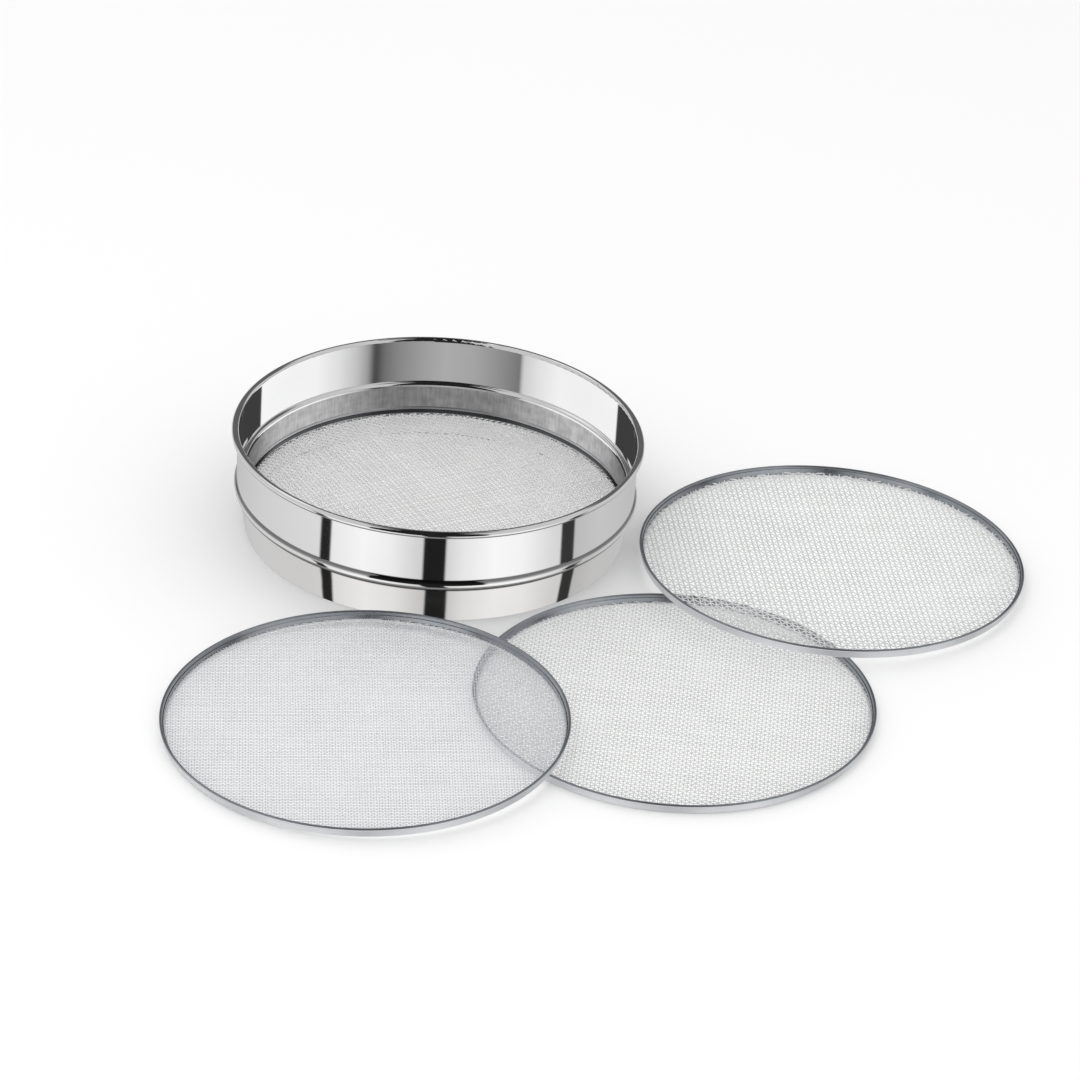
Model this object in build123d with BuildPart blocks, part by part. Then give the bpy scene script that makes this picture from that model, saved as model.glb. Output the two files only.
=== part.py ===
from build123d import *
import os
from math import atan2, cos, dist, pi, radians, sin

# Sieve with interchangeable wire screens: a round sheet-metal frame, one screen held in it
# by a retaining ring, and three spare screens lying on the ground in front of it.
# Millimetres, +Z up. The origin is the centre of the frame's foot, on the frame's axis.

# ---- frame ----
sheet = 0.8
rim_radius = 150.0  # over the rolled rim
frame_height = 77.0
rim_roll = 2.6  # outside radius of the rolled rim
rim_wire_radius = 1.7
bead_radius = 146.4  # inside the swaged bead, at its fullest
bead_low = 27.5
bead_high = 36.0
bead_blend = 1.0
skirt_top_radius = 142.8  # inside the skirt, just under the bead
foot_radius = 138.2  # inside the skirt, at the ground
curl_end = -130.0  # angle at which a rolled edge stops, just short of its own wall

# ---- screens ----
screen_radius = 140.5  # over the hoop
screen_height = 7.0
screen_sheet = 0.6
hoop_roll = 1.0  # outside radius of the hoop's rolled top edge
hoop_curl_end = -100.0
hoop_corner = 0.6
flange_radius = 136.0  # inside the hoop's flange
mesh_edge_gap = 0.2
clamp_thickness = 0.8
clamp_height = 2.6
clamp_gap = 0.1
crimp = 1.08  # a crimped wire's length over its straight length

# ---- ledge and retaining ring ----
seat_height = 15.6  # top of the ledge, where the fitted screen sits
ledge_inner_radius = 135.0
ledge_flange = 9.0  # height of the ledge's flange against the skirt
ledge_corner = 0.7
weld_gap = 0.05
band_radius = 138.9  # inside the retaining ring
band_roll = 2.8  # outside radius of its rolled lip
retainer_top = 42.8

# ---- where the spare screens lie ----
ground_gap = 2.0  # from the rim to a spare screen, seen from above
lay_gap = 0.5  # where one screen leans on another
fine_bearing = -99.0  # directions from the frame's axis, degrees from +X
medium_bearing = -55.0
coarse_bearing = -8.0

wall_radius = rim_radius - 2 * rim_roll  # inside the upper wall
rim_centre = (rim_radius - rim_roll, frame_height - rim_roll)
hoop_inside = screen_radius - 2 * hoop_roll
hoop_outside = hoop_inside + screen_sheet
spare_distance = rim_radius + screen_radius + ground_gap
section = Plane.XZ


def skirt_inside(height):
    """Inside radius of the tapered skirt at a height above the foot."""
    return foot_radius + (skirt_top_radius - foot_radius) * height / bead_low


def on_circle(centre, radius, angle):
    """A point on a circle in a section."""
    return (centre[0] + radius * cos(radians(angle)), centre[1] + radius * sin(radians(angle)))


def rolled_edge(centre, roll, thickness, cut):
    """Both faces of a sheet edge rolled outwards, with its cut end at an angle."""
    CenterArc(centre, roll, cut, 180 - cut)
    CenterArc(centre, roll - thickness, cut, 180 - cut)
    Line(on_circle(centre, roll, cut), on_circle(centre, roll - thickness, cut))


def frame_wall(shift):
    """One face of the frame's wall, from the rolled rim to the foot."""
    Line((wall_radius + shift, rim_centre[1]), (wall_radius + shift, bead_high))
    ThreePointArc(
        (wall_radius + shift, bead_high),
        (bead_radius + shift, (bead_low + bead_high) / 2),
        (skirt_top_radius + shift, bead_low),
    )
    Line((skirt_top_radius + shift, bead_low), (foot_radius + shift, 0))


def finish(piece, name):
    """Names a finished piece and writes it."""
    piece.part.label = name
    export_step(piece.part, "parts/" + name + ".step")


os.makedirs("parts", exist_ok=True)

# Frame shell: rolled rim, straight wall, swaged bead and tapered skirt in one sheet.
with BuildPart() as body_shell:
    with BuildSketch(section) as shell_profile:
        with BuildLine():
            rolled_edge(rim_centre, rim_roll, sheet, curl_end)
            frame_wall(0)
            frame_wall(sheet)
            Line((foot_radius, 0), (foot_radius + sheet, 0))
        make_face()
        creases = [v for v in shell_profile.vertices() if v.Y in (bead_low, bead_high)]
        fillet(creases, bead_blend)
    revolve(axis=Axis.Z)
finish(body_shell, "body_shell")

# Stiffening wire, closed inside the rolled rim.
with BuildPart() as rim_wire:
    with BuildSketch(section):
        with Locations(rim_centre):
            Circle(rim_wire_radius)
    revolve(axis=Axis.Z)
finish(rim_wire, "rim_wire")

# Ledge ring, spot-welded inside the skirt: the screens sit on it.
ledge_foot = seat_height - ledge_flange
ledge_under = seat_height - sheet
with BuildPart() as support_ledge:
    with BuildSketch(section) as ledge_profile:
        with BuildLine():
            Polyline(
                (ledge_inner_radius, seat_height),
                (skirt_inside(seat_height) - weld_gap, seat_height),
                (skirt_inside(ledge_foot) - weld_gap, ledge_foot),
                (skirt_inside(ledge_foot) - weld_gap - sheet, ledge_foot),
                (skirt_inside(ledge_under) - weld_gap - sheet, ledge_under),
                (ledge_inner_radius, ledge_under),
                close=True,
            )
        make_face()
        fillet(ledge_profile.vertices().group_by(Axis.X)[-1], ledge_corner)
    revolve(axis=Axis.Z)
finish(support_ledge, "support_ledge")

# Retaining ring: a plain band under a rolled lip that runs up the wall. It sits on the
# fitted screen's hoop and lifts out by hand.
lip_centre = (band_radius + band_roll, retainer_top - band_roll)
band_foot = seat_height + screen_height + weld_gap
with BuildPart() as retaining_ring:
    with BuildSketch(section):
        with BuildLine():
            rolled_edge(lip_centre, band_roll, sheet, curl_end)
            for face_radius in (band_radius, band_radius + sheet):
                Line((face_radius, lip_centre[1]), (face_radius, band_foot))
            Line((band_radius, band_foot), (band_radius + sheet, band_foot))
        make_face()
    revolve(axis=Axis.Z)
finish(retaining_ring, "retaining_ring")


def build_screen(name, base, pitch, wire):
    """One screen on its own base plane: hoop, wire mesh and the ring that clamps the mesh."""
    side = Plane(origin=base.origin, x_dir=base.x_dir, z_dir=-base.y_dir)
    axis = Axis(base.origin, base.z_dir)
    roll_centre = (screen_radius - hoop_roll, screen_height - hoop_roll)

    # Hoop: a flange under the mesh, an upright wall and a top edge rolled outwards.
    with BuildPart() as hoop:
        with BuildSketch(side) as hoop_profile:
            with BuildLine():
                rolled_edge(roll_centre, hoop_roll, screen_sheet, hoop_curl_end)
                Polyline(
                    (hoop_inside, roll_centre[1]),
                    (hoop_inside, screen_sheet),
                    (flange_radius, screen_sheet),
                    (flange_radius, 0),
                    (hoop_outside, 0),
                    (hoop_outside, roll_centre[1]),
                )
            make_face()
            corner = [v for v in hoop_profile.vertices() if v.X == hoop_outside and v.Y == 0]
            fillet(corner, hoop_corner)
        revolve(axis=axis)
    finish(hoop, name + "_hoop")

    # Mesh: a thin disc with the weight of the woven wires, as thick as the weave where its
    # edge lies on the flange.
    weave = 2 * wire
    cloth = 2 * pi / 4 * wire**2 / pitch * crimp
    middle = screen_sheet + wire
    mesh_radius = hoop_inside - mesh_edge_gap
    with BuildPart() as mesh:
        with BuildSketch(side):
            with BuildLine():
                Polyline(
                    (0, middle - cloth / 2),
                    (flange_radius, middle - cloth / 2),
                    (flange_radius, screen_sheet),
                    (mesh_radius, screen_sheet),
                    (mesh_radius, screen_sheet + weave),
                    (flange_radius, screen_sheet + weave),
                    (flange_radius, middle + cloth / 2),
                    (0, middle + cloth / 2),
                    close=True,
                )
            make_face()
        revolve(axis=axis)
    finish(mesh, name + "_mesh")

    # Clamp ring: an upright strip sprung into the hoop, down on the mesh's edge.
    clamp_outside = hoop_inside - clamp_gap
    with BuildPart() as clamp_ring:
        with BuildSketch(base.offset(screen_sheet + weave)):
            Circle(clamp_outside)
            Circle(clamp_outside - clamp_thickness, mode=Mode.SUBTRACT)
        extrude(amount=clamp_height)
    finish(clamp_ring, name + "_clamp_ring")


def ground_point(bearing):
    """Centre of a spare screen on the ground."""
    return on_circle((0, 0), spare_distance, bearing)


def leaning_base(bearing):
    """Base plane of a spare screen with one edge on the ground and the other on the hoop of
    the screen that lies flat."""
    centre = ground_point(bearing)
    flat = ground_point(medium_bearing)
    spacing = dist(centre, flat)
    lean = atan2(screen_height + lay_gap, hoop_outside + spacing / 2)
    toward = ((flat[0] - centre[0]) / spacing, (flat[1] - centre[1]) / spacing)
    return Plane(
        origin=(centre[0], centre[1], hoop_outside * sin(lean)),
        x_dir=(toward[0] * cos(lean), toward[1] * cos(lean), sin(lean)),
        z_dir=(-toward[0] * sin(lean), -toward[1] * sin(lean), cos(lean)),
    )


build_screen("fitted", Plane.XY.offset(seat_height), pitch=3.2, wire=0.9)
build_screen("spare_fine", leaning_base(fine_bearing), pitch=1.9, wire=0.5)
build_screen("spare_medium", Plane(origin=(*ground_point(medium_bearing), 0)), pitch=2.7, wire=0.7)
build_screen("spare_coarse", leaning_base(coarse_bearing), pitch=3.9, wire=1.0)
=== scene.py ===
import math

import bpy
import numpy as np
from mathutils import Matrix, Vector


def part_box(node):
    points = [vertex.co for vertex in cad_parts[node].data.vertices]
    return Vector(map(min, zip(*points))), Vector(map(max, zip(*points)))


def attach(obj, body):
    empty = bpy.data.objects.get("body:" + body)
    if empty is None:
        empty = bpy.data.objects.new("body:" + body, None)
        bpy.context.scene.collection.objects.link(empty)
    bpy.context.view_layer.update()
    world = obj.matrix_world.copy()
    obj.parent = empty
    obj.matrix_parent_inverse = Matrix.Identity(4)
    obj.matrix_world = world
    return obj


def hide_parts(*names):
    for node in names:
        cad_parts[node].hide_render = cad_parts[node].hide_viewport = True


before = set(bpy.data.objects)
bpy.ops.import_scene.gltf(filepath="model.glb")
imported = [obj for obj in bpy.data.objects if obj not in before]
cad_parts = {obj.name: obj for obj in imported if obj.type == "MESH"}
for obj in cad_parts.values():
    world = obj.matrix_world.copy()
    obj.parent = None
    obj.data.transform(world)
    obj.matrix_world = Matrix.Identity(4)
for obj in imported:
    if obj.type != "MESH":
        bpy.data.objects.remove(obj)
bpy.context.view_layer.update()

MM = 0.001

# ---- screens: each has its wires woven in the CAD hoop it belongs to ----
# pitch and wire diameter of the square mesh, in metres; turn is the weave's angle on the screen,
# in degrees; uneven is how far a wire may lie from its place, in pitches; sides is the number of
# faces round a wire; rings is how many rings shape one crossing.
WEAVES = {
    "fitted": dict(pitch=3.2 * MM, wire=0.9 * MM, turn=27, uneven=0.12, sides=6, rings=2),
    "spare_fine": dict(pitch=1.9 * MM, wire=0.5 * MM, turn=2, uneven=0.07, sides=4, rings=1),
    "spare_medium": dict(pitch=2.7 * MM, wire=0.7 * MM, turn=-6, uneven=0.07, sides=4, rings=2),
    "spare_coarse": dict(pitch=3.9 * MM, wire=1.0 * MM, turn=5, uneven=0.07, sides=6, rings=2),
}
BODIES = {"fitted": "fitted_screen"}  # the others ride on a body of their own name
RING_PLACE = 0.24  # where the rings of a crossing stand beside its middle, in pitches
DRIFT = (0.02, 0.09)  # least and most that a wire wanders sideways, in pitches
DRIFT_LENGTH = 9  # pitches along a wire for one radian of that wandering
END_GAP = 0.3 * MM  # between the wires' ends and the edge of the CAD mesh

# ---- steel colours ----
WIRE_TINTS = {"fitted": (0.93, 0.93, 0.93), "spare_fine": (0.90, 0.93, 0.96)}
PLAIN_TINT = (0.95, 0.96, 0.96)
# Painted shade: darker colours for the hoops' insides, standing for the dark reflections there; the
# spare clamp rings take the same slate.
SLATE_SHADE = (0.27, 0.29, 0.315), (0.40, 0.42, 0.45)
FITTED_HOOP_SHADE = (0.34, 0.34, 0.35), (0.52, 0.52, 0.53)
# Painted shade, nearly black: the fitted clamp ring stands for the dark line between the retaining
# ring and the fitted mesh.
FITTED_CLAMP_SHADE = (0.05, 0.052, 0.056), (0.10, 0.103, 0.11)
LIGHT_STEEL = (0.80, 0.81, 0.83), (0.92, 0.93, 0.94)
DULL_BAND = (0.34, 0.34, 0.345), (0.66, 0.66, 0.665)

# ---- places on the frame and the retaining ring ----
WALL_RADIUS = 145 * MM  # for measuring an arc round the axis
CREASE_SHADE_HEIGHTS = 24 * MM, 40 * MM  # heights between which the painted shade by the bead is set out
LIP_HEIGHT = 3.3 * MM  # polished part of the retaining ring, from its top

# ---- studio ----
# Levels round the room are (azimuth, level), with the azimuth in degrees, 0 towards the camera
# and positive to the right. Heights in the room are the z of a direction.
WALLS = [
    (-180, 0.5), (-121, 0.69), (-74, 0.76), (-68.5, 0.78),
    (-67.9, 0.02), (-61.1, 0.02),  # left flag
    (-60.5, 0.90), (-41, 1.05), (-25, 0.97), (-11, 0.75), (-6.5, 0.70),
    (-5.9, 0.015), (5.8, 0.015),  # middle flag
    (6.4, 0.72), (16, 0.90), (34, 1.05), (51, 1.0), (70, 0.78), (76.2, 0.75),
    (76.8, 0.04), (86.3, 0.04),  # right flag
    (86.9, 0.56), (108, 0.62), (180, 0.5),
]
CUP = [
    (-180, 0.05), (-129, 0.05), (-128, 1.0), (-75, 1.0), (-61, 0.86), (-50, 0.68),
    (-48, 0.20), (-36, 0.30), (-20, 0.42), (-3, 0.46), (10, 0.38), (25, 0.26), (33, 0.17),
    (37.5, 0.07), (39.5, 0.10), (43, 0.36), (50, 0.60), (62, 0.84), (77, 1.0), (127, 1.03),
    (128, 0.05), (180, 0.05),
]
OVERHEAD = 0.62  # level above the walls
SKIRT_VIEW = -0.48, -0.70  # from the height the upright wall mirrors to the one the skirt mirrors
SKIRT_LEAN, SKIRT_SHIFT = 0.84, 0.006  # how the flags stand on the skirt beside the wall
SKIRT_LOW, SKIRT_RISE = -0.765, 0.26  # lowest that the skirt mirrors, and its rise to the back
BLACK, DARK = 0.015, 0.12

# ---- camera, from the rim's centre ----
LENS_MM = 166.7
EYE = (-0.0707, -3.1917, 1.8130)
LOOK_YAW, LOOK_PITCH, LOOK_ROLL = 2.68, 29.71, 3.76


# ------------------------------------------------------------------ node trees
def start_tree(owner):
    owner.use_nodes = True
    owner.node_tree.nodes.clear()
    return owner.node_tree


def add(tree, kind, inputs=None, **settings):
    """A node with its settings and inputs; an input is a value or another node's output."""
    node = tree.nodes.new("ShaderNode" + kind)
    for key, value in settings.items():
        setattr(node, key, value)
    for key, value in (inputs or {}).items():
        if isinstance(value, bpy.types.NodeSocket):
            tree.links.new(value, node.inputs[key])
        else:
            node.inputs[key].default_value = value
    return node


def math_node(tree, operation, a, b=0.0):
    return add(tree, "Math", {0: a, 1: b}, operation=operation).outputs[0]


def multiply(tree, a, b):
    return math_node(tree, "MULTIPLY", a, b)


def ramp(tree, value, stops):
    """A colour ramp whose stops are (position, grey or rgb)."""
    node = add(tree, "ValToRGB", {0: value})
    elements = node.color_ramp.elements
    while len(elements) < len(stops):
        elements.new(0.5)
    for element, (position, colour) in zip(elements, stops):
        rgb = colour if isinstance(colour, tuple) else (colour,) * 3
        element.position = position
        element.color = (*rgb, 1)
    return node.outputs[0]


def noise(tree, vector, scale, detail=3.0, roughness=0.5):
    return add(tree, "TexNoise", {"Vector": vector, "Scale": scale, "Detail": detail,
                                  "Roughness": roughness}).outputs["Fac"]


def object_point(tree):
    return add(tree, "TexCoord").outputs["Object"]


def height_of(tree, vector):
    return add(tree, "SeparateXYZ", {0: vector}).outputs[2]


def stretch(tree, vector, factors):
    return add(tree, "VectorMath", {0: vector, 1: factors}, operation="MULTIPLY").outputs[0]


def round_the_axis(tree):
    """(arc length, height, radius) of a point round the frame's axis, in metres."""
    x, y, z = add(tree, "SeparateXYZ", {0: object_point(tree)}).outputs
    radius = math_node(tree, "SQRT", math_node(tree, "ADD", multiply(tree, x, x),
                                               multiply(tree, y, y)))
    arc = multiply(tree, math_node(tree, "ARCTAN2", y, x), WALL_RADIUS)
    return add(tree, "CombineXYZ", {0: arc, 1: z, 2: radius}).outputs[0]


def spread(tree, value, low, high):
    return add(tree, "MapRange", {"Value": value, "To Min": low, "To Max": high}).outputs[0]


def fade(tree, value, start, end):
    """0 at one end of a range of the value, 1 at the other."""
    return add(tree, "MapRange", {"Value": value, "From Min": start, "From Max": end}).outputs[0]


def mix_colour(tree, factor, a, b, blend="MIX"):
    return add(tree, "Mix", {0: factor, 6: a, 7: b}, data_type="RGBA", blend_type=blend).outputs[2]


def bump(tree, height, strength, distance):
    return add(tree, "Bump", {"Height": height, "Strength": strength,
                              "Distance": distance}).outputs[0]


def grey(level):
    return (level, level, level, 1)


# ------------------------------------------------------------------ materials
def start_material(name):
    material = bpy.data.materials.new(name)
    return material, start_tree(material)


def steel(tree, colour, roughness, normal, metallic=1.0):
    surface = add(tree, "BsdfPrincipled", {"Base Color": colour, "Metallic": metallic,
                                           "Roughness": roughness, "Normal": normal})
    add(tree, "OutputMaterial", {"Surface": surface.outputs[0]})


def clouded(tree, point, dark, light):
    return ramp(tree, noise(tree, point, 22, detail=4), [(0.3, dark), (0.7, light)])


def polished_steel():
    """Mirror-bright with faint smudges, and painted shade darkening the creases above and below the
    bead.
    """
    material, tree = start_material("polished_steel")
    wrap = round_the_axis(tree)
    smudge = noise(tree, object_point(tree), 14, detail=4)
    lines = noise(tree, stretch(tree, wrap, (3, 2200, 3)), 1.0, detail=2)
    unshaded_tone = ramp(tree, smudge, [(0.3, (0.86, 0.86, 0.865)), (0.7, (0.90, 0.90, 0.90))])
    height = fade(tree, add(tree, "SeparateXYZ", {0: wrap}).outputs[1], *CREASE_SHADE_HEIGHTS)
    # Painted shade: dark bands along the creases above and below the bead, multiplied into the
    # colour.
    painted_crease_shade = ramp(tree, height, [(0.14, 1.0), (0.20, 0.08), (0.33, 0.07), (0.40, 1.0),
                                 (0.60, 1.0), (0.67, 0.35), (0.76, 0.25), (0.82, 1.0)])
    colour = mix_colour(tree, 1.0, unshaded_tone, painted_crease_shade, "MULTIPLY")
    steel(tree, colour, spread(tree, smudge, 0.02, 0.07), bump(tree, lines, 0.02, 0.02 * MM))
    return material


def retainer_steel():
    """Polished on the rolled lip, dull and mottled on the band below it."""
    material, tree = start_material("retainer_steel")
    wrap = round_the_axis(tree)
    height = add(tree, "SeparateXYZ", {0: wrap}).outputs[1]
    lip_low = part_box("retaining_ring")[1].z - LIP_HEIGHT
    on_lip = fade(tree, height, lip_low - 0.3 * MM, lip_low + 0.3 * MM)
    streaks = noise(tree, stretch(tree, wrap, (420, 60, 1)), 1.0, detail=4, roughness=0.6)
    blotches = noise(tree, stretch(tree, wrap, (90, 160, 1)), 1.0, detail=3)
    mottle = math_node(tree, "ADD", multiply(tree, streaks, 0.55), multiply(tree, blotches, 0.45))
    dull = ramp(tree, mottle, [(0.3, DULL_BAND[0]), (0.7, DULL_BAND[1])])
    colour = mix_colour(tree, on_lip, dull, grey(0.88))
    steel(tree, colour, spread(tree, on_lip, 0.42, 0.05), bump(tree, mottle, 0.15, 0.1 * MM))
    return material


def hoop_steel(name, shade_dark, shade_light):
    """Light steel outside; darker on the rolled top edge and where the hoop faces its own mesh, a
    painted dark reflection.
    """
    material, tree = start_material(name + "_hoop_steel")
    texture = add(tree, "TexCoord")
    point = texture.outputs["Object"]
    centre, *_, mesh_radius = screen_plane(name)
    from_centre = add(tree, "VectorMath", {0: point, 1: tuple(centre)}, operation="SUBTRACT")
    level = stretch(tree, from_centre.outputs[0], (1, 1, 0))
    outward = add(tree, "VectorMath", {0: level}, operation="NORMALIZE")
    distance = add(tree, "VectorMath", {0: level}, operation="LENGTH").outputs["Value"]
    facing = add(tree, "VectorMath", {0: texture.outputs["Normal"], 1: outward.outputs[0]},
                 operation="DOT_PRODUCT").outputs["Value"]
    upward = height_of(tree, texture.outputs["Normal"])
    # The side facing the mesh and the upward top edge get the painted dark reflection colours.
    inside = math_node(tree, "MAXIMUM", fade(tree, facing, -0.25, -0.55),
                       fade(tree, upward, -0.1, 0.25))
    past_flange = fade(tree, distance, mesh_radius - 1.0 * MM, mesh_radius - 0.6 * MM)
    inside = multiply(tree, inside, past_flange)
    colour = mix_colour(tree, inside, clouded(tree, point, *LIGHT_STEEL),
                        clouded(tree, point, shade_dark, shade_light))
    grain = noise(tree, point, 260, detail=3)
    steel(tree, colour, spread(tree, grain, 0.28, 0.42), bump(tree, grain, 0.05, 0.05 * MM),
          metallic=spread(tree, inside, 0.35, 0.9))
    return material


# A clamp ring in one clouded colour; the colours passed in are painted shade.
def clamp_steel(name, dark, light):
    material, tree = start_material(name + "_clamp_steel")
    point = object_point(tree)
    grain = noise(tree, point, 260, detail=3)
    steel(tree, clouded(tree, point, dark, light), spread(tree, grain, 0.2, 0.34),
          bump(tree, grain, 0.05, 0.05 * MM))
    return material


def satin_steel(name, level, metallic):
    material, tree = start_material(name)
    point = object_point(tree)
    grain = noise(tree, point, 340, detail=4)
    cloud = noise(tree, point, 30, detail=3)
    colour = ramp(tree, cloud, [(0.3, level * 0.9), (0.7, level * 1.1)])
    steel(tree, colour, spread(tree, grain, 0.25, 0.42), bump(tree, grain, 0.1, 0.05 * MM),
          metallic)
    return material


def wire_steel(name):
    """Brighter than bare metal would be, so that the weave stays light when it is small."""
    material, tree = start_material(name + "_wire")
    point = object_point(tree)
    tint = WIRE_TINTS.get(name, PLAIN_TINT)
    grain = noise(tree, point, 900, detail=2)
    cloud = noise(tree, point, 40, detail=3)
    colour = ramp(tree, cloud, [(0.3, tuple(0.9 * c for c in tint)), (0.7, tint)])
    steel(tree, colour, spread(tree, grain, 0.14, 0.26), bump(tree, grain, 0.1, 0.03 * MM),
          metallic=0.35)
    return material


# ------------------------------------------------------------------ woven screens
def screen_plane(name):
    """Centre, weave axes, normal and radius of a screen, read from its CAD mesh node at rest."""
    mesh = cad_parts[name + "_mesh"].data
    points = np.array([v.co for v in mesh.vertices], float)
    centre = (points.min(0) + points.max(0)) / 2
    thinnest = np.linalg.svd(points - points.mean(0), full_matrices=False)[2][2]
    normal = thinnest * np.sign(thinnest[2])
    first = np.cross((0.0, 1.0, 0.0), normal)
    first /= np.linalg.norm(first)
    second = np.cross(normal, first)
    radius = np.linalg.norm(points - centre, axis=1).max()
    return centre, first, second, normal, radius


def wire_path(row, reach, pitch, lift, rings):
    """Centre line of one wire in its own row: places along it and heights, over and under."""
    count = int(reach / pitch)
    crossings = np.arange(-count, count + 1)
    side = np.where((crossings + row) % 2 == 0, lift, -lift)
    if rings == 1:
        along, height = crossings * pitch, side
    else:
        along = np.stack((crossings - RING_PLACE, crossings + RING_PLACE), 1).ravel() * pitch
        height = np.repeat(side, 2)
    inside = np.abs(along) < reach - 0.1 * pitch
    along, height = along[inside], height[inside]
    along = np.concatenate(([-reach], along, [reach]))
    height = np.concatenate(([height[0]], height, [height[-1]]))
    return along, height


def weave(name, half):
    """All wires of one direction of a screen as one mesh: half 0 runs along the first weave
    axis, half 1 across it."""
    spec = WEAVES[name]
    centre, first, second, normal, radius = screen_plane(name)
    turn = math.radians(spec["turn"])
    along_axis = first * math.cos(turn) + second * math.sin(turn)
    across_axis = -first * math.sin(turn) + second * math.cos(turn)
    if half:
        along_axis, across_axis = across_axis, along_axis
    pitch, wire, uneven, sides = (spec[key] for key in ("pitch", "wire", "uneven", "sides"))
    lift = wire / 2 if half == 0 else -wire / 2
    rows = int((radius - wire - 0.2 * pitch) / pitch)
    angles = (np.arange(sides) + 0.5) / sides * 2 * math.pi
    ring = np.cos(angles)[:, None] * across_axis + np.sin(angles)[:, None] * normal
    random = np.random.default_rng(half)
    vertices, faces, start = [], [], 0
    for row in range(-rows, rows + 1):
        offset = row * pitch + random.uniform(-uneven, uneven) * pitch
        drift, phase = random.uniform(*DRIFT) * pitch, random.uniform(0, 2 * math.pi)
        outermost = abs(offset) + 0.1 * pitch + wire / 2
        reach = math.sqrt(max((radius - END_GAP) ** 2 - outermost ** 2, 0.0))
        if reach < 2 * pitch:
            continue
        along, height = wire_path(row, reach, pitch, lift, spec["rings"])
        sideways = offset + drift * np.sin(along / (DRIFT_LENGTH * pitch) + phase)
        line = (centre + along[:, None] * along_axis + sideways[:, None] * across_axis
                + height[:, None] * normal)
        vertices.append((line[:, None] + wire / 2 * ring).reshape(-1, 3))
        total = len(line)
        index = start + np.arange(total * sides).reshape(total, sides)
        following = np.roll(index, -1, 1)
        quads = np.stack((index[:-1], following[:-1], following[1:], index[1:]), -1)
        faces.extend(quads.reshape(-1, 4).tolist())
        faces.append(index[0][::-1].tolist())
        faces.append(index[-1].tolist())
        start += total * sides
    mesh = bpy.data.meshes.new(name + ("_weft" if half else "_warp"))
    mesh.from_pydata(np.concatenate(vertices).tolist(), [], faces)
    mesh.shade_smooth()
    piece = bpy.data.objects.new(mesh.name, mesh)
    bpy.context.scene.collection.objects.link(piece)
    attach(piece, BODIES.get(name, name))
    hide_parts(name + "_mesh")
    return piece


# ------------------------------------------------------------------ studio
def compass(stops):
    """Ramp stops round the room from stops by azimuth."""
    return [(azimuth / 360 + 0.5, level) for azimuth, level in stops]


def azimuth_of(tree, x, y):
    """Azimuth in radians of a direction that leaves the surface, from its x and y."""
    return math_node(tree, "ARCTAN2", x, multiply(tree, y, -1))


def round_the_room(tree, azimuth):
    """0 to 1 round the room for an azimuth in radians, where the ramps of levels are read."""
    return math_node(tree, "ADD", math_node(tree, "DIVIDE", azimuth, 2 * math.pi), 0.5)


def make_world():
    """Even white light, and for reflections a white studio with three black flags and a dark
    card over the camera, as mirror-polished steel shows them."""
    world = bpy.data.worlds.new("studio")
    bpy.context.scene.world = world
    tree = start_tree(world)
    direction = add(tree, "TexCoord").outputs["Generated"]
    x, y, z = add(tree, "SeparateXYZ", {0: direction}).outputs
    azimuth = azimuth_of(tree, x, y)
    turn = round_the_room(tree, azimuth)

    on_skirt = fade(tree, z, *SKIRT_VIEW)
    leaned = round_the_room(tree, multiply(tree, azimuth, spread(tree, on_skirt, 1, SKIRT_LEAN)))
    leaned = math_node(tree, "SUBTRACT", leaned, multiply(tree, on_skirt, SKIRT_SHIFT))
    warmth = mix_colour(tree, fade(tree, z, -0.70, -0.55), (0.90, 0.885, 0.87, 1), grey(1))
    walls = mix_colour(tree, 1.0, ramp(tree, leaned, compass(WALLS)), warmth, "MULTIPLY")
    room = mix_colour(tree, fade(tree, z, -0.25, 0.05), walls, grey(OVERHEAD))

    def patch(below, level, sides, *heights):
        """The room with one level over part of it: a ramp round the room times fades in height."""
        cover = ramp(tree, turn, compass(sides))
        for start, end in heights:
            cover = multiply(tree, cover, fade(tree, z, start, end))
        return mix_colour(tree, cover, below, grey(level))

    # A light strip and two dark cards up behind the frame, for the rolled edges.
    room = patch(room, 0.9, [(-150, 0), (-144, 1), (-102, 1), (-96, 0)], (0.57, 0.62), (0.86, 0.82))
    room = patch(room, DARK, [(-142, 1), (-134, 0), (134, 0), (142, 1)], (-0.15, 0.0), (0.76, 0.70))
    room = patch(room, DARK, [(107, 0), (113, 1)], (0.46, 0.52), (0.76, 0.70))
    # Below what the tapered skirt mirrors, only the underside of the bead looks.
    back = math_node(tree, "SUBTRACT", multiply(tree, turn, 2), 1)
    skirt_end = math_node(tree, "ADD", multiply(tree, multiply(tree, back, back), SKIRT_RISE),
                          SKIRT_LOW)
    below_skirt = fade(tree, math_node(tree, "SUBTRACT", z, skirt_end), 0.0, -0.02)
    room = mix_colour(tree, below_skirt, room, grey(0.25))
    # The card over the camera, a card up at the back and a dark ceiling.
    room = patch(room, BLACK, [(-36, 0), (-34, 1), (27, 1), (29, 0)], (-0.27, -0.22))
    room = patch(room, BLACK, [(-167, 1), (-163, 0), (163, 0), (167, 1)], (0.70, 0.74))
    room = patch(room, BLACK, [(-180, 1), (180, 1)], (0.95, 0.96))

    glossy = add(tree, "Background", {"Color": room, "Strength": 1.0})
    plain = add(tree, "Background", {"Color": grey(1), "Strength": 1.0})
    is_glossy = add(tree, "LightPath").outputs["Is Glossy Ray"]
    mixed = add(tree, "MixShader", {0: is_glossy, 1: plain.outputs[0], 2: glossy.outputs[0]})
    add(tree, "OutputWorld", {"Surface": mixed.outputs[0]})


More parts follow.
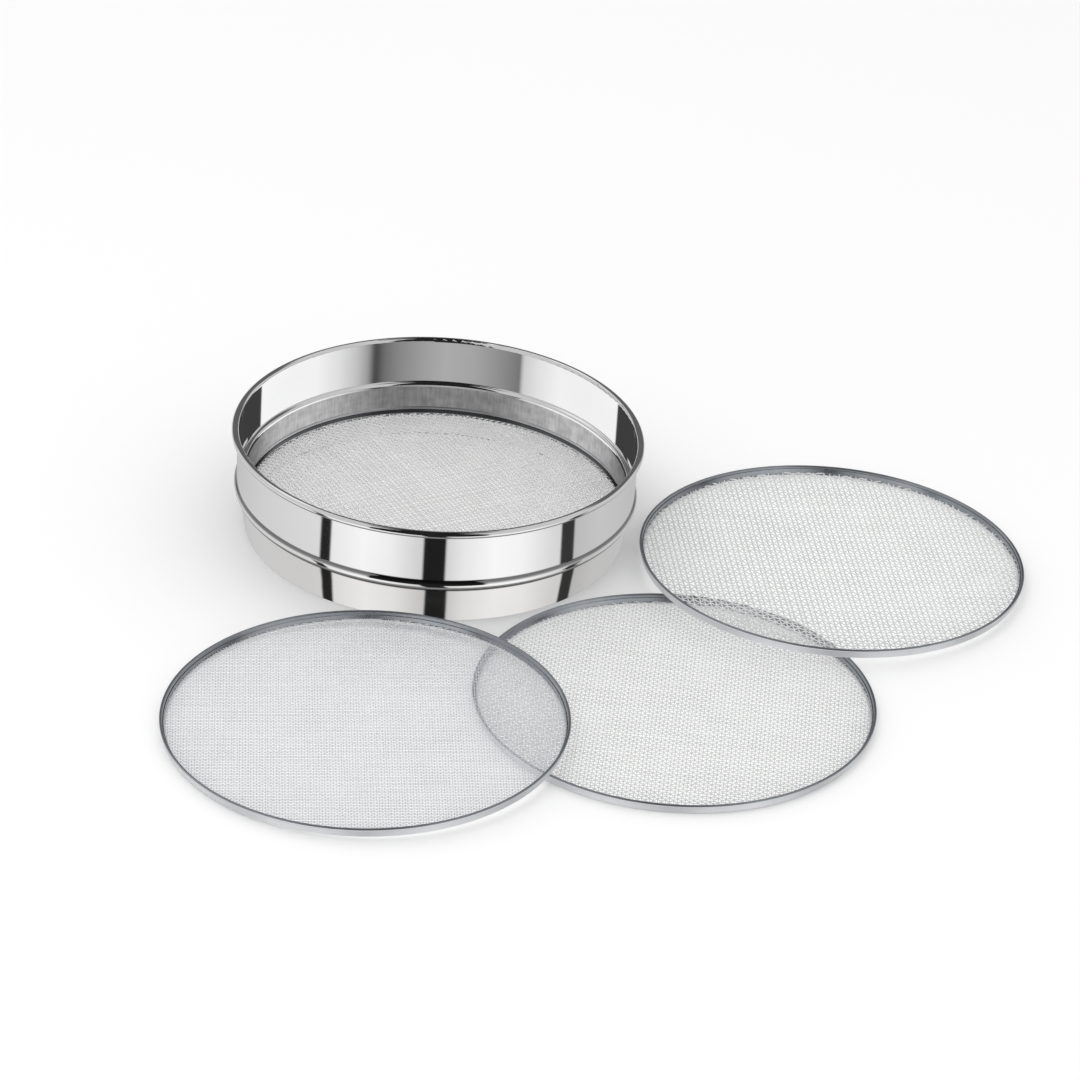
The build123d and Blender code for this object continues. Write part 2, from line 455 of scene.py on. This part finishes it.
def stage_piece(name, points, faces, material):
    mesh = bpy.data.meshes.new(name)
    mesh.from_pydata(points, [], faces)
    mesh.materials.append(material)
    piece = bpy.data.objects.new(name, mesh)
    bpy.context.scene.collection.objects.link(piece)
    return piece


def circle(radius, height, sides):
    angles = np.linspace(0, 2 * math.pi, sides, endpoint=False)
    return [(radius * math.cos(a), radius * math.sin(a), height) for a in angles]


def disc(name, radius, height, material, sides=64):
    """A flat disc round the frame's axis."""
    return stage_piece(name, circle(radius, height, sides), [list(range(sides))], material)


def only_mirrored(piece):
    for ray in ("camera", "diffuse", "transmission", "volume_scatter", "shadow"):
        setattr(piece, "visible_" + ray, False)


def cup_glow():
    """Levels by the direction a reflection takes, seen only from the inside."""
    material, tree = start_material("bowl_card")
    geometry = add(tree, "NewGeometry")
    x, y, _ = add(tree, "SeparateXYZ", {0: geometry.outputs["Incoming"]}).outputs
    azimuth = azimuth_of(tree, multiply(tree, x, -1), multiply(tree, y, -1))
    level = ramp(tree, round_the_room(tree, azimuth), compass(CUP))
    glow = add(tree, "Emission", {"Color": level})
    clear = add(tree, "BsdfTransparent")
    shown = add(tree, "MixShader", {0: geometry.outputs["Backfacing"], 1: glow.outputs[0],
                                    2: clear.outputs[0]})
    add(tree, "OutputMaterial", {"Surface": shown.outputs[0]})
    return material


def make_bowl_card(sides=96):
    """What the inside of the wall mirrors: a cup over the screen and the retaining ring that
    only reflections see, and only from its inside. It is white to the sides and graded grey
    ahead, and dark where the wall is seen at a glancing angle."""
    low, high = 16 * MM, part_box("retaining_ring")[1].z + 0.1 * MM
    inner, outer = 138.4 * MM, 144.7 * MM
    points = circle(inner, low, sides) + circle(inner, high, sides) + circle(outer, high, sides)
    faces = [(start + (i + 1) % sides, start + i, start + sides + i,
              start + sides + (i + 1) % sides)
             for start in (0, sides) for i in range(sides)]
    only_mirrored(stage_piece("bowl_card", points, faces + [list(range(sides))], cup_glow()))


def make_foot_card():
    """A pale card under the screen, that only reflections see."""
    material, tree = start_material("foot_card")
    glow = add(tree, "Emission", {"Color": grey(0.7)})
    add(tree, "OutputMaterial", {"Surface": glow.outputs[0]})
    only_mirrored(disc("foot_card", 137 * MM, 0.1 * MM, material))


def make_floor():
    material, tree = start_material("pale_floor")
    surface = add(tree, "BsdfPrincipled", {"Base Color": grey(0.92), "Roughness": 0.9})
    add(tree, "OutputMaterial", {"Surface": surface.outputs[0]})
    disc("floor", 30, -0.2 * MM, material).visible_glossy = False


def make_light(name, place, size, power):
    light = bpy.data.lights.new(name, "AREA")
    light.shape, light.size, light.energy = "DISK", size, power
    lamp = bpy.data.objects.new(name, light)
    lamp.location = place
    lamp.rotation_euler = (-Vector(place)).to_track_quat("-Z", "Y").to_euler()
    lamp.visible_glossy = False
    bpy.context.scene.collection.objects.link(lamp)


def make_camera():
    data = bpy.data.cameras.new("camera")
    data.lens, data.sensor_width = LENS_MM, 36
    data.clip_start, data.clip_end = 0.1, 200
    camera = bpy.data.objects.new("camera", data)
    yaw, pitch, roll = (math.radians(a) for a in (LOOK_YAW, LOOK_PITCH, LOOK_ROLL))
    look = Vector((math.sin(yaw) * math.cos(pitch), math.cos(yaw) * math.cos(pitch),
                   -math.sin(pitch)))
    right = Vector((math.cos(yaw), -math.sin(yaw), 0))
    up = right.cross(look)
    side = right * math.cos(roll) + up * math.sin(roll)
    top = up * math.cos(roll) - right * math.sin(roll)
    turn = Matrix((side, top, -look)).transposed().to_4x4()
    camera.matrix_world = Matrix.Translation(EYE) @ turn
    bpy.context.scene.collection.objects.link(camera)
    bpy.context.scene.camera = camera


# ------------------------------------------------------------------ the part
def paint(name, material):
    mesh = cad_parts[name].data
    mesh.materials.clear()
    mesh.materials.append(material)


paint("body_shell", polished_steel())
paint("retaining_ring", retainer_steel())
paint("support_ledge", satin_steel("ledge_steel", 0.85, 0.3))
paint("rim_wire", satin_steel("rim_wire_steel", 0.45, 1.0))
unmirrored = [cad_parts[name] for name in ("support_ledge", "retaining_ring")]
for screen in WEAVES:
    # Hoop insides and clamp rings get painted shade colours.
    hoop_shade_colours, clamp_shade_colours = SLATE_SHADE, SLATE_SHADE
    if screen == "fitted":
        hoop_shade_colours, clamp_shade_colours = FITTED_HOOP_SHADE, FITTED_CLAMP_SHADE
    paint(screen + "_hoop", hoop_steel(screen, *hoop_shade_colours))
    paint(screen + "_clamp_ring", clamp_steel(screen, *clamp_shade_colours))
    unmirrored += [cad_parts[screen + "_hoop"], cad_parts[screen + "_clamp_ring"]]
    wires = wire_steel(screen)
    for half in (0, 1):
        piece = weave(screen, half)
        piece.data.materials.append(wires)
        piece.visible_diffuse = False
        piece.visible_shadow = False
        unmirrored.append(piece)
for piece in unmirrored:
    piece.visible_glossy = False

make_world()
make_floor()
make_bowl_card()
make_foot_card()
make_light("key", (-0.8, -1.0, 2.4), 1.6, 10)
make_camera()
bpy.context.scene.view_settings.view_transform = "Standard"
